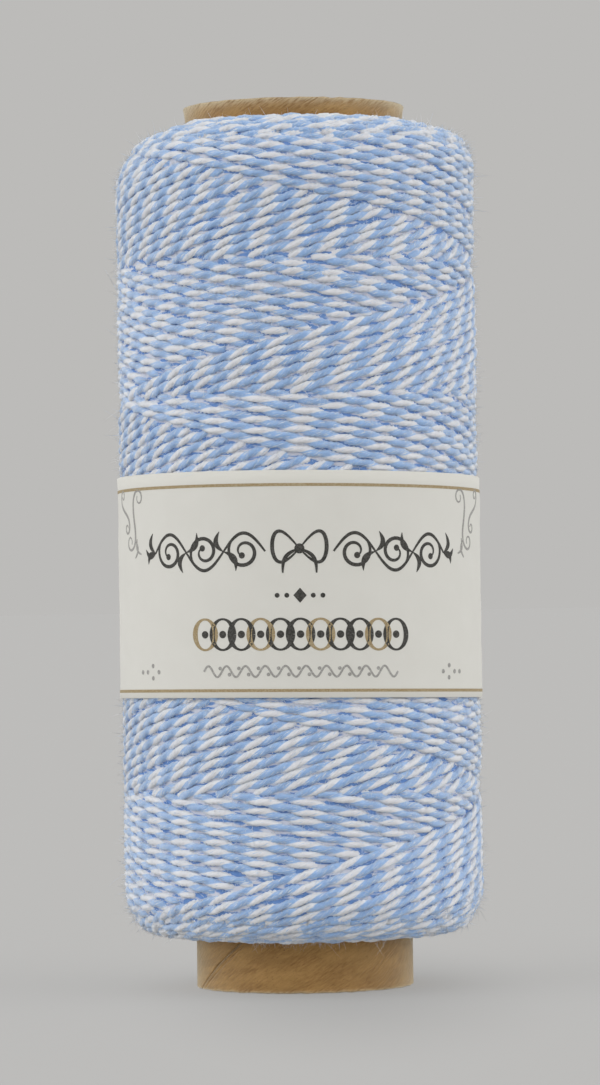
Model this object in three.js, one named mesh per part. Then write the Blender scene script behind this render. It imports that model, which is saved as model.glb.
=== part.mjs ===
// Spool of bakers twine: two-ply cotton twine cross-wound on a kraft paper tube, held by a
// paper band. Millimetres, +Z up. The spool stands on the flat end of its tube, the origin is
// the centre of that end, and the printed side of the band faces -Y.
import * as THREE from "three";

// Kraft tube
const TUBE_RADIUS = 12.7;
const TUBE_WALL = 1.8;
const TUBE_LENGTH = 103.3;
const TUBE_EDGE_BEVEL = 0.25;

// Winding of twine
const WINDING_RADIUS = 20.9;
const WINDING_BOTTOM = 6;
const WINDING_TOP = 101.1;
const TOP_SHOULDER = { reach: 5.4, height: 7.5 };
const BOTTOM_SHOULDER = { reach: 5.2, height: 5.2 };
const SHOULDER_POWER = 2.2;

// Cross-winding: the twine climbs three turns and comes back in three, a pitch apart
const WIND_PITCH = 30.6;
const NEWEST_RISING_AT = 75.74;
const NEWEST_FALLING_AT = 92.41;
const LAP_STEP = 0.4;
const LAP_SOFTNESS = 0.05;

// Paper band, and the winding drawn in beneath it
const BAND_CENTRE = 46.76;
const BAND_HEIGHT = 25.8;
const BAND_OUTER_RADIUS = 21.4;
const BAND_THICKNESS = 1;
const BAND_TILT = THREE.MathUtils.degToRad(1.07);
const BAND_OVERLAP_STEP = 0.2;
const BAND_OVERLAP = { from: 80, to: 102 };

// Clearance between neighbouring pieces
const GAP = 0.3;

// How finely the round surfaces are divided
const TUBE_SIDES = 48;
const WINDING_SIDES = 72;
const ROW_HEIGHT = 1.75;
const SHOULDER_STEPS = 7;
const BAND_ROWS = 4;

const BAND_LOW = BAND_CENTRE - BAND_HEIGHT / 2;
const BAND_HIGH = BAND_CENTRE + BAND_HEIGHT / 2;
const SEAT_LOW = BAND_LOW - GAP;
const SEAT_HIGH = BAND_HIGH + GAP;
const SEAT_RADIUS = BAND_OUTER_RADIUS - BAND_THICKNESS - GAP;
const BORE_OF_WINDING = TUBE_RADIUS + GAP;
const BOTTOM_SHOULDER_END = WINDING_BOTTOM + BOTTOM_SHOULDER.height;
const TOP_SHOULDER_START = WINDING_TOP - TOP_SHOULDER.height;

// Part of a whole turn or pitch that is left over, from 0 to 1
function fraction(value) {
  return value - Math.floor(value);
}

// Height of one family of laps: a step up onto the newest turn, then a slow fall to the oldest
function lapHeight(age) {
  const rise = Math.min(age / LAP_SOFTNESS, 1);
  return rise - age - 0.5;
}

// Main twists of the winding: two crossing families of laps, one climbing to the right and one
// falling, as a change in radius at an azimuth (radians) and a height
function twistRelief(azimuth, z) {
  const climb = (WIND_PITCH * azimuth) / (2 * Math.PI);
  const rising = fraction((NEWEST_RISING_AT + climb - z) / WIND_PITCH);
  const falling = fraction((z - NEWEST_FALLING_AT + climb) / WIND_PITCH);
  return LAP_STEP * (lapHeight(rising) + lapHeight(falling));
}

// Azimuth of a point about the axis, 0 at the front (-Y) and growing to the viewer's right (+X)
function azimuthOf(x, y) {
  return Math.atan2(x, -y);
}

// The band was put on a little crooked: its front stands higher than its back
function bandLift(y) {
  return -y * Math.tan(BAND_TILT);
}

// Points of a quarter of a rounded shoulder, from its flat end face out to the side
function shoulder(endHeight, shape, sideHeight) {
  const points = [];
  for (let step = 0; step <= SHOULDER_STEPS; step += 1) {
    const angle = (step / SHOULDER_STEPS) * (Math.PI / 2);
    const out = Math.sin(angle) ** (2 / SHOULDER_POWER);
    const along = Math.cos(angle) ** (2 / SHOULDER_POWER);
    const radius = WINDING_RADIUS - shape.reach + shape.reach * out;
    points.push(new THREE.Vector2(radius, sideHeight + (endHeight - sideHeight) * along));
  }
  return points;
}

// Evenly spaced points at one radius, both ends left out
function between(radius, startHeight, endHeight, rows) {
  const points = [];
  for (let row = 1; row < rows; row += 1) {
    const height = startHeight + ((endHeight - startHeight) * row) / rows;
    points.push(new THREE.Vector2(radius, height));
  }
  return points;
}

// A closed section turned about the Z axis
function turned(section, sides) {
  const geometry = new THREE.LatheGeometry([...section, section[0].clone()], sides);
  geometry.rotateX(Math.PI / 2);
  return geometry;
}

// Moves every point of a geometry to the place that a function gives
function reshape(geometry, place) {
  const positions = geometry.attributes.position;
  const point = new THREE.Vector3();
  for (let index = 0; index < positions.count; index += 1) {
    point.fromBufferAttribute(positions, index);
    place(point);
    positions.setXYZ(index, point.x, point.y, point.z);
  }
  geometry.computeVertexNormals();
  return geometry;
}

// Kraft tube, open at both ends
function tubeGeometry() {
  const inner = TUBE_RADIUS - TUBE_WALL;
  const bevel = TUBE_EDGE_BEVEL;
  const section = [
    new THREE.Vector2(inner + bevel, 0),
    new THREE.Vector2(TUBE_RADIUS - bevel, 0),
    new THREE.Vector2(TUBE_RADIUS, bevel),
    new THREE.Vector2(TUBE_RADIUS, TUBE_LENGTH - bevel),
    new THREE.Vector2(TUBE_RADIUS - bevel, TUBE_LENGTH),
    new THREE.Vector2(inner + bevel, TUBE_LENGTH),
    new THREE.Vector2(inner, TUBE_LENGTH - bevel),
    new THREE.Vector2(inner, bevel),
  ];
  return turned(section, TUBE_SIDES);
}

// Section of the winding: bore, end faces, shoulders, side, and the seat of the band
function windingSection() {
  const upperRows = Math.round((TOP_SHOULDER_START - SEAT_HIGH) / ROW_HEIGHT);
  const lowerRows = Math.round((SEAT_LOW - BOTTOM_SHOULDER_END) / ROW_HEIGHT);
  return [
    new THREE.Vector2(BORE_OF_WINDING, WINDING_BOTTOM),
    ...shoulder(WINDING_BOTTOM, BOTTOM_SHOULDER, BOTTOM_SHOULDER_END),
    ...between(WINDING_RADIUS, BOTTOM_SHOULDER_END, SEAT_LOW, lowerRows),
    new THREE.Vector2(WINDING_RADIUS, SEAT_LOW),
    new THREE.Vector2(SEAT_RADIUS, SEAT_LOW),
    ...between(SEAT_RADIUS, SEAT_LOW, SEAT_HIGH, BAND_ROWS),
    new THREE.Vector2(SEAT_RADIUS, SEAT_HIGH),
    new THREE.Vector2(WINDING_RADIUS, SEAT_HIGH),
    ...between(WINDING_RADIUS, SEAT_HIGH, TOP_SHOULDER_START, upperRows),
    ...shoulder(WINDING_TOP, TOP_SHOULDER, TOP_SHOULDER_START).reverse(),
    new THREE.Vector2(BORE_OF_WINDING, WINDING_TOP),
  ];
}

// Share of the band's crookedness that a height follows: all of it at the seat, none at the ends
function liftShare(z) {
  const below = (z - BOTTOM_SHOULDER_END) / (SEAT_LOW - BOTTOM_SHOULDER_END);
  const above = (TOP_SHOULDER_START - z) / (TOP_SHOULDER_START - SEAT_HIGH);
  return THREE.MathUtils.clamp(Math.min(below, above), 0, 1);
}

// Share of the laps' relief: none in the bore and on the band's seat, all of it on the side,
// and less and less over the shoulders
function reliefShare(radius, z) {
  const onSeat = z > SEAT_LOW - GAP && z < SEAT_HIGH + GAP && radius < SEAT_RADIUS + GAP;
  const flatPart = WINDING_RADIUS - TOP_SHOULDER.reach;
  return onSeat ? 0 : THREE.MathUtils.smoothstep(radius, flatPart, WINDING_RADIUS);
}

// Wound body of twine: its section turned about the axis, then raised in crossing laps
function windingGeometry() {
  return reshape(turned(windingSection(), WINDING_SIDES), (point) => {
    const radius = Math.hypot(point.x, point.y);
    const share = reliefShare(radius, point.z);
    point.z += bandLift(point.y) * liftShare(point.z);
    const relief = share * twistRelief(azimuthOf(point.x, point.y), point.z);
    point.x *= (radius + relief) / radius;
    point.y *= (radius + relief) / radius;
  });
}

// Paper band, with a step where its glued end lies over its start at the back
function bandGeometry() {
  const inner = BAND_OUTER_RADIUS - BAND_THICKNESS;
  const section = [
    new THREE.Vector2(inner, BAND_LOW),
    new THREE.Vector2(BAND_OUTER_RADIUS, BAND_LOW),
    ...between(BAND_OUTER_RADIUS, BAND_LOW, BAND_HIGH, BAND_ROWS),
    new THREE.Vector2(BAND_OUTER_RADIUS, BAND_HIGH),
    new THREE.Vector2(inner, BAND_HIGH),
    ...between(inner, BAND_HIGH, BAND_LOW, BAND_ROWS),
  ];
  return reshape(turned(section, WINDING_SIDES), (point) => {
    const radius = Math.hypot(point.x, point.y);
    const aboutBack = THREE.MathUtils.radToDeg(Math.atan2(point.y, point.x));
    const overlapped = aboutBack > BAND_OVERLAP.from && aboutBack < BAND_OVERLAP.to;
    const raise = overlapped && radius > inner + GAP ? BAND_OVERLAP_STEP : 0;
    point.z += bandLift(point.y);
    point.x *= (radius + raise) / radius;
    point.y *= (radius + raise) / radius;
  });
}

function piece(name, geometry, color, roughness) {
  const material = new THREE.MeshStandardMaterial({ color, roughness, metalness: 0 });
  const mesh = new THREE.Mesh(geometry, material);
  mesh.name = name;
  return mesh;
}

const spool = new THREE.Group();
spool.add(piece("core_tube", tubeGeometry(), 0x8f7248, 0.85));
spool.add(piece("twine_winding", windingGeometry(), 0xa5b2c8, 0.95));
spool.add(piece("label_band", bandGeometry(), 0xcbcac4, 0.75));

export default spool;
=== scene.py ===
# %% [markdown]
# # A spool of bakers twine
#
# Bakers twine is thin cotton string made of two plies, one dyed and one bleached. Here it is
# cross-wound on a kraft paper tube and held by a printed paper band. The imported frame gives
# the true size and place of the three parts, and this lesson dresses each of them: the winding
# gets its real turns of twine, the tube its paper, and the band its thin strip and its print.
#
# Everything is in metres in the scene that is made, but the numbers of a spool are easier to
# read in millimetres, so the shapes are worked out in millimetres and scaled at the end.

import bpy
import numpy as np
from mathutils import Matrix, Vector


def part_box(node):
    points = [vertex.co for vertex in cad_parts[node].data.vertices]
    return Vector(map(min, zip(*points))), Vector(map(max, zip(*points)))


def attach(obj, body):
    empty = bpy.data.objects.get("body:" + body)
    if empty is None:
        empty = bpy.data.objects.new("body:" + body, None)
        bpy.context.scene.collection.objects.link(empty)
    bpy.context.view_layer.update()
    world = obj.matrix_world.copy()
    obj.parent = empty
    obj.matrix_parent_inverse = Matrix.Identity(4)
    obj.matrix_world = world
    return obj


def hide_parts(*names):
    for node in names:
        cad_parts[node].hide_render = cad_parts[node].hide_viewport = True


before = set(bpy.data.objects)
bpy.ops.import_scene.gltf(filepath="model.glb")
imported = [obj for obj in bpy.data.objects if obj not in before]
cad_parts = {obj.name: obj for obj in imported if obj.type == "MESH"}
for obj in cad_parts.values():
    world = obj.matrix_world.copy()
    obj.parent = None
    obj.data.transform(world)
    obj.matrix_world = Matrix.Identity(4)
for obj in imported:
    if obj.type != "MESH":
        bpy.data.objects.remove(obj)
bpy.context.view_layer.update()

MM = 0.001


def node_box(name):
    """Lowest and highest corner of a frame node, in millimetres."""
    low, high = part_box(name)
    return np.array(low) / MM, np.array(high) / MM


tube_low, tube_high = node_box("core_tube")
wound_low, wound_high = node_box("twine_winding")
band_low, band_high = node_box("label_band")
print("tube", tube_low.round(2), tube_high.round(2))
print("winding", wound_low.round(2), wound_high.round(2))
print("band", band_low.round(2), band_high.round(2))

# %% [markdown]
# ## Where the camera stands
#
# The photograph was taken from about half a metre with a long lens, so the spool hardly
# tapers. The sag of the tube's end arcs gives the distance, and the height at which a ring
# looks straight gives the height of the eye. The picture is a little crooked: the spool leans
# to the left, so the camera is rolled by the same angle.

# %% Camera
PHOTO_WIDTH, PHOTO_HEIGHT = 600, 1085
EYE_ROW = 594.0
AXIS_COLUMN = 299.3
EYE_HEIGHT = 46.0
EYE_DISTANCE = 560.0
PIXELS_PER_MM = 8.5
ROLL_DEGREES = -0.8

focal_pixels = PIXELS_PER_MM * EYE_DISTANCE
camera_data = bpy.data.cameras.new("camera")
camera_data.sensor_width = 36.0
camera_data.lens = focal_pixels * camera_data.sensor_width / PHOTO_HEIGHT
camera_data.clip_start, camera_data.clip_end = 0.02, 60.0
camera = bpy.data.objects.new("camera", camera_data)
bpy.context.scene.collection.objects.link(camera)
pitch = np.arctan((EYE_ROW - PHOTO_HEIGHT / 2) / focal_pixels)
yaw = np.arctan((AXIS_COLUMN - PHOTO_WIDTH / 2) / focal_pixels)
camera.matrix_world = (
    Matrix.Translation(Vector((0, -EYE_DISTANCE, EYE_HEIGHT)) * MM)
    @ Matrix.Rotation(yaw, 4, "Z")
    @ Matrix.Rotation(np.pi / 2 + pitch, 4, "X")
    @ Matrix.Rotation(np.radians(ROLL_DEGREES), 4, "Z")
)
bpy.context.scene.camera = camera
print("lens", round(camera_data.lens, 1), "mm")

# %% [markdown]
# ## Light and stage
#
# The photograph has the flat, even light of a white tent: the paper band is nearly the same
# grey from edge to edge, and the shadow on the ground is faint. An even world does most of
# that. Suns with a wide disc stand for the tent's brighter panels, because a sun lights the
# floor the same everywhere, so floor and background stay one tone up to the horizon.

# %% World, suns and floor
BACKGROUND = (0.503, 0.497, 0.485, 1.0)
WORLD_LIGHT = 0.99, 0.55
WORLD_COLOUR = (1.0, 0.995, 0.985, 1.0)
FLOOR_RADIUS = 12.0

scene = bpy.context.scene
scene.view_settings.view_transform = "Standard"
scene.view_settings.look = "None"


def node_world():
    """Soft light, a little dimmer overhead, and the plain background tone where the camera
    sees sky. Strength = side + (overhead - side) x max(z, 0) of the direction."""
    world = bpy.data.worlds.new("tent")
    scene.world = world
    world.use_nodes = True
    nodes, links = world.node_tree.nodes, world.node_tree.links
    nodes.clear()
    lit = nodes.new("ShaderNodeBackground")
    lit.inputs["Color"].default_value = WORLD_COLOUR
    direction = nodes.new("ShaderNodeTexCoord")
    height = nodes.new("ShaderNodeSeparateXYZ")
    fade = nodes.new("ShaderNodeMapRange")
    fade.inputs["To Min"].default_value, fade.inputs["To Max"].default_value = WORLD_LIGHT
    links.new(direction.outputs["Generated"], height.inputs["Vector"])
    links.new(height.outputs["Z"], fade.inputs["Value"])
    links.new(fade.outputs["Result"], lit.inputs["Strength"])
    seen = nodes.new("ShaderNodeBackground")
    seen.inputs["Color"].default_value = BACKGROUND
    mix = nodes.new("ShaderNodeMixShader")
    path = nodes.new("ShaderNodeLightPath")
    out = nodes.new("ShaderNodeOutputWorld")
    links.new(path.outputs["Is Camera Ray"], mix.inputs["Fac"])
    links.new(lit.outputs["Background"], mix.inputs[1])
    links.new(seen.outputs["Background"], mix.inputs[2])
    links.new(mix.outputs["Shader"], out.inputs["Surface"])


def sun(name, azimuth, elevation, strength, spread, colour=(1.0, 1.0, 1.0)):
    """A sun that shines from an azimuth (0 is the front, 90 the right) and an elevation."""
    data = bpy.data.lights.new(name, "SUN")
    data.energy = strength
    data.color = colour
    data.angle = np.radians(spread)
    lamp = bpy.data.objects.new(name, data)
    a, e = np.radians(azimuth), np.radians(elevation)
    towards = Vector((np.sin(a) * np.cos(e), -np.cos(a) * np.cos(e), np.sin(e)))
    lamp.rotation_mode = "QUATERNION"
    lamp.rotation_quaternion = towards.to_track_quat("Z", "Y")
    scene.collection.objects.link(lamp)


node_world()
COOL = (0.96, 0.99, 1.05)
sun("panel_left", -72, 22, 1.10, 70, COOL)
sun("panel_right", 76, 20, 1.03, 70, COOL)
sun("panel_front", -8, 35, 0.05, 60)

angles = np.linspace(0, 2 * np.pi, 96, endpoint=False)
floor_mesh = bpy.data.meshes.new("floor")
rim = np.stack([np.cos(angles), np.sin(angles), np.zeros_like(angles)], 1) * FLOOR_RADIUS
floor_mesh.from_pydata(rim.tolist(), [], [list(range(len(angles)))])
floor = bpy.data.objects.new("floor", floor_mesh)
scene.collection.objects.link(floor)

# %% [markdown]
# ## Materials are small node trees
#
# Each finish starts from the Principled shader. These helpers add a node and wire it, so that
# a finish reads as a short recipe. Values that are the same all over sit on the shader itself.


# %% Node helpers
class Finish:
    """One material and its node tree, with short ways to add and wire nodes."""

    def __init__(self, name, roughness, **sockets):
        self.material = bpy.data.materials.new(name)
        self.material.use_nodes = True
        self.tree = self.material.node_tree
        self.shader = self.tree.nodes["Principled BSDF"]
        self.shader.inputs["Roughness"].default_value = roughness
        for socket, value in sockets.items():
            self.shader.inputs[socket.replace("_", " ")].default_value = value

    def node(self, kind, settings=None, **inputs):
        """A node of a kind, its settings, and its inputs by name or number (_0, _1)."""
        made = self.tree.nodes.new("ShaderNode" + kind)
        for key, value in (settings or {}).items():
            setattr(made, key, value)
        for key, value in inputs.items():
            socket = made.inputs[int(key[1:]) if key.startswith("_") else key]
            if isinstance(value, bpy.types.NodeSocket):
                self.tree.links.new(value, socket)
            else:
                socket.default_value = value
        return made

    def maths(self, operation, first, second=0.0, third=0.0):
        """One arithmetic step on two values, or on three."""
        inputs = {"_0": first, "_1": second, "_2": third}
        return self.node("Math", {"operation": operation}, **inputs).outputs[0]

    def smooth(self, value, low, high, to_low=0.0, to_high=1.0):
        """A value carried smoothly from one range to another."""
        ends = {"From Min": low, "From Max": high, "To Min": to_low, "To Max": to_high}
        settings = {"interpolation_type": "SMOOTHSTEP"}
        return self.node("MapRange", settings, Value=value, **ends).outputs[0]

    def scaled(self, vector, scale):
        """A vector stretched along its three axes."""
        return self.node("VectorMath", {"operation": "MULTIPLY"}, _0=vector, _1=scale).outputs[0]

    def noise(self, vector, stretch, scale, detail=3.0, roughness=0.5):
        """Soft noise between 0 and 1 over a vector that is first stretched."""
        inputs = {"Scale": scale, "Detail": detail, "Roughness": roughness}
        return self.node("TexNoise", Vector=self.scaled(vector, stretch), **inputs).outputs[0]

    def mix(self, amount, first, second):
        """Two colours mixed by an amount."""
        return self.node("Mix", {"data_type": "RGBA"}, _0=amount, _6=first, _7=second).outputs[2]

    def attribute(self, name):
        """The vector of this name on the mesh's points."""
        return self.node("Attribute", {"attribute_name": name}).outputs["Vector"]

    def axis(self, vector, name):
        """The value of a vector along its X, Y or Z."""
        return self.node("SeparateXYZ", Vector=vector).outputs[name]

    def wire(self, socket, value):
        """Feeds a socket of the shader from a node."""
        self.tree.links.new(value, self.shader.inputs[socket])

    def bump(self, height, distance, strength=1.0):
        """Relief too fine to model, from a height between 0 and 1 and its depth in metres."""
        made = self.node("Bump", Height=height, Distance=distance, Strength=strength)
        self.wire("Normal", made.outputs[0])


FLOOR_GLOW = 0.699
# Painted shadow on the floor before the spool's foot: its dimmed glow, middle, stretch and reach.
PAINTED_SHADOW_GLOW = 0.78 * FLOOR_GLOW
PAINTED_SHADOW_AT = (0.0045, -0.013, 0.0)
PAINTED_SHADOW_STRETCH = (60.0, 17.0, 0.0)
PAINTED_SHADOW_REACH = 1.6
EVEN = (1.0, 1.0, 1.0)


def floor_finish():
    """Pale translucent sheet of a light table: it glows, so shadows stay faint. Its glow is a fifth
    weaker before the foot of the spool: a painted shadow, where the photograph has a soft wide shade."""
    finish = Finish("pale_sheet", 1.0, Specular_IOR_Level=0.0, Emission_Color=BACKGROUND)
    place = finish.node("TexCoord").outputs["Object"]
    # painted shadow: the floor's glow dims in a soft patch before the foot of the spool
    from_foot = finish.node("VectorMath", {"operation": "SUBTRACT"}, _0=place, _1=PAINTED_SHADOW_AT)
    from_foot = finish.scaled(from_foot.outputs[0], PAINTED_SHADOW_STRETCH)
    away = finish.node("VectorMath", {"operation": "LENGTH"}, _0=from_foot).outputs["Value"]
    glow = finish.smooth(away, 0.0, PAINTED_SHADOW_REACH, PAINTED_SHADOW_GLOW, FLOOR_GLOW)
    finish.wire("Emission Strength", glow)
    grain = finish.noise(place, EVEN, 400.0)
    tone = finish.mix(grain, (0.163, 0.161, 0.157, 1), (0.168, 0.166, 0.162, 1))
    finish.wire("Base Color", tone)
    return finish.material


floor.data.materials.append(floor_finish())

# %% [markdown]
# ## From arrays to a mesh
#
# Every shape below is a whole array of points worked out at once. This helper hands such
# arrays to Blender. A mesh may mix faces of several sizes, so faces come as a list of arrays,
# one row a face. An attribute is a value on every point that a finish can read later.


# %% Mesh helper
def make_piece(name, points_mm, faces, finish, attributes=None, smooth=True):
    """Makes a mesh object from points in millimetres and rides it on the root body."""
    mesh = bpy.data.meshes.new(name)
    points = np.asarray(points_mm, dtype=np.float64).reshape(-1, 3) * MM
    corners = np.concatenate([rows.ravel() for rows in faces]).astype(np.int32)
    totals = np.concatenate([np.full(len(rows), rows.shape[1]) for rows in faces])
    starts = np.concatenate([[0], np.cumsum(totals)[:-1]]).astype(np.int32)
    mesh.vertices.add(len(points))
    mesh.vertices.foreach_set("co", points.ravel())
    mesh.loops.add(len(corners))
    mesh.loops.foreach_set("vertex_index", corners)
    mesh.polygons.add(len(totals))
    mesh.polygons.foreach_set("loop_start", starts)
    mesh.polygons.foreach_set("use_smooth", np.full(len(totals), smooth))
    mesh.update(calc_edges=True)
    for key, values in (attributes or {}).items():
        made = mesh.attributes.new(key, "FLOAT_VECTOR", "POINT")
        made.data.foreach_set("vector", np.asarray(values, dtype=np.float32).ravel())
    mesh.materials.append(finish)
    piece = bpy.data.objects.new(name, mesh)
    scene.collection.objects.link(piece)
    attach(piece, "root")
    first = [rows[:, [0, k, k + 1]] for rows in faces for k in range(1, rows.shape[1] - 1)]
    a, b, c = np.moveaxis(points[np.concatenate(first)] / MM, 1, 0)
    volume = np.sum(a * np.cross(b, c)) / 6
    print(name, len(points), "points,", int((totals - 2).sum()), "triangles,", round(volume, 2), "mm3")
    return piece


def stacked(*parts):
    """Arrays brought to one shape and set side by side in a last direction."""
    return np.stack(np.broadcast_arrays(*parts), -1)


def unit(vectors):
    """Vectors of length one: v / |v|."""
    return vectors / np.linalg.norm(vectors, axis=-1, keepdims=True)


def grid_faces(rows, columns, close_rows=False, close_columns=False):
    """Quads of a grid of points in row order. A closed direction joins its end to its start."""
    r = np.arange(rows if close_rows else rows - 1)[:, None] * columns
    c = np.arange(columns if close_columns else columns - 1)[None, :]
    r2, c2 = (r + columns) % (rows * columns), (c + 1) % columns
    return stacked(r + c, r + c2, r2 + c2, r2 + c).reshape(-1, 4)


def around(azimuth, radius, z):
    """Points at an azimuth (0 at the front, growing to the right), a radius and a height."""
    return stacked(radius * np.sin(azimuth), -radius * np.cos(azimuth), z)


def running_length(path):
    """Way along each row of points from its start: the sum of the steps |p(k + 1) - p(k)|."""
    steps = np.linalg.norm(np.diff(path, axis=-2), axis=-1)
    return np.concatenate([np.zeros(steps.shape[:-1] + (1,)), np.cumsum(steps, -1)], -1)


# %% [markdown]
# ## How the winding runs
#
# The winder turns the tube while a guide carries the twine up and down: three turns up, three
# turns down. Each double stroke lands a twenty-sixth of a turn from the last, so 26 strokes
# cover the spool once. At any place two strands cross, one climbing and one falling, and the
# later one lies on top. The age of a strand, from 0 for the newest to 1 for the oldest of the
# layer, is a straight-line function of azimuth and height. Comparing two ages tells which
# family shows, and that makes the diamond bands seen on the real spool.

# %% Sizes of the winding
PITCH = 30.6
STROKES = 26
NEWEST_RISING_AT = 75.74
NEWEST_FALLING_AT = 92.41
TOP_TURN = 99.37
BOTTOM_TURN = 8.16
TURN_ROUNDING = 1.0
END_ZONE = 6.0
END_SPREAD = 0.6
BOTTOM_SPREAD = 1.5

WOUND_RADIUS = 21.05
WOUND_BOTTOM, WOUND_TOP = wound_low[2], wound_high[2]
TOP_REACH, TOP_HEIGHT = 5.4, 7.5
BOTTOM_REACH, BOTTOM_HEIGHT = 5.2, 5.2
SHOULDER_POWER = 2.2
CLIMB_ANGLE = np.arctan(PITCH / (2 * np.pi * WOUND_RADIUS))

LAP_STEP = 0.28
LAP_SOFTNESS = 0.05
LAP_ENDS_AT = 1.5
LAP_FADE = 6.0

# The slump of the top shoulder: its depth, and pairs of a middle and a way for its shares.
SLUMP = 0.95
SLUMP_RIGHT = 0.4
SLUMP_SIDE = 0.80, 0.36
SLUMP_HEIGHT = 95.0, 9.0
SLUMP_RADIUS = 14.0, 3.0
CORNER_HEIGHT = 96.5, 6.0
CORNER_RADIUS = 17.5, 3.0
CORNER_PUSH, CORNER_LEAN = 0.9, 0.25

STRAND = 1.0
STRAND_SIDES = 10
STRAND_STEP = 0.55
PLY_TURN = 4.95
PLY_OFFSET = 0.225
PLY_RADIUS = 0.415
PRESSED = 0.85
DIVE = 0.8
OVERHANG = 1.2

BAND_TILT = np.radians(1.3)
BAND_LEAN = np.radians(0.6)
BAND_HEIGHT = 25.8
BAND_CENTRE = 46.68
BAND_RADIUS = 21.25
PAPER = 0.2
SQUEEZE_WAY = 1.6
SQUEEZED_DEPTH = 0.60


def wound_profile(z):
    """Outer radius of the winding at a height: a cylinder whose ends round off in
    superellipses, where (out / reach)^n + (along / height)^n = 1."""
    above = np.clip((z - (WOUND_TOP - TOP_HEIGHT)) / TOP_HEIGHT, 0, 1)
    below = np.clip(((WOUND_BOTTOM + BOTTOM_HEIGHT) - z) / BOTTOM_HEIGHT, 0, 1)
    top_in = TOP_REACH * (1 - (1 - above**SHOULDER_POWER) ** (1 / SHOULDER_POWER))
    bottom_in = BOTTOM_REACH * (1 - (1 - below**SHOULDER_POWER) ** (1 / SHOULDER_POWER))
    return WOUND_RADIUS - top_in - bottom_in


def profile_slope(z, step=0.05):
    """Outward normal of the profile at a height, as its radial and upward shares."""
    fall = (wound_profile(z + step) - wound_profile(z - step)) / (2 * step)
    length = np.hypot(1, fall)
    return 1 / length, -fall / length


def rising_age(azimuth, z):
    """Age of the climbing strand at a place: the share of a pitch below the newest one."""
    return ((NEWEST_RISING_AT + PITCH * azimuth / (2 * np.pi) - z) / PITCH) % 1.0


def falling_age(azimuth, z):
    """Age of the falling strand at a place: the share of a pitch above the newest one."""
    return ((z - NEWEST_FALLING_AT + PITCH * azimuth / (2 * np.pi)) / PITCH) % 1.0


def lap_height(age):
    """A step up onto the newest turn, then a slow fall to the oldest, about zero."""
    return np.minimum(age / LAP_SOFTNESS, 1) - age - 0.5


def lap_relief(azimuth, z):
    """Rise of the surface by the two crossing families of laps, none at the end faces."""
    room = np.minimum(WOUND_TOP - LAP_ENDS_AT - z, z - WOUND_BOTTOM - LAP_ENDS_AT) / LAP_FADE
    laps = lap_height(rising_age(azimuth, z)) + lap_height(falling_age(azimuth, z))
    return LAP_STEP * laps * np.clip(room, 0, 1)


def smoothstep(x):
    """Zero below -1/2, one above 1/2, and 3t^2 - 2t^3 between, where t = x + 1/2."""
    t = np.clip(x + 0.5, 0, 1)
    return t * t * (3 - 2 * t)


def eased(value, middle, way):
    """Zero well below the middle value and one well above it, with a step as long as the way."""
    return smoothstep((value - middle) / way)


def slumped(azimuth, radius, z):
    """Points of the winding, whose top shoulder has slumped, as in the photo.

    The height falls by SLUMP x side x high x out, shares from 0 to 1: how far to a side the
    point is, how far up, and how far from the tube. On the left it falls in full and the corner
    leans in a little. On the right it falls less and the corner is pushed out, nearly square."""
    left = eased(-np.sin(azimuth), *SLUMP_SIDE)
    right = eased(np.sin(azimuth), *SLUMP_SIDE)
    side = SLUMP * (left + SLUMP_RIGHT * right)
    fall = side * eased(z, *SLUMP_HEIGHT) * eased(radius, *SLUMP_RADIUS)
    corner = eased(z, *CORNER_HEIGHT) * eased(radius, *CORNER_RADIUS)
    push = SLUMP * (CORNER_PUSH * right - CORNER_LEAN * left)
    return around(azimuth, radius + push * corner, z - fall)


# %% [markdown]
# ## One strand
#
# The twine is two plies laid round each other, so its section is two overlapping circles, and
# the section turns as it goes. From outside, that shows as slanting dashes, blue and white in
# turn. A strand is made by carrying the section along a path. The frame that carries it is
# simple here, because the direction out of the spool is always known.
#
# Every point also keeps where it lies in the straight, untwisted strand: two coordinates across
# the plies and one along. The finish reads that, so fibres and ply colours follow the strand.


# %% Section and sweep
NEXT_STRAND = 7.3


def strand_section():
    """Radius of two overlapping circles at even angles: e|cos| + sqrt(a^2 - e^2 sin^2)."""
    angle = np.arange(STRAND_SIDES) * 2 * np.pi / STRAND_SIDES
    across = PLY_OFFSET * np.abs(np.cos(angle))
    rest = np.sqrt(PLY_RADIUS**2 - (PLY_OFFSET * np.sin(angle)) ** 2)
    return angle, across + rest


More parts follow.
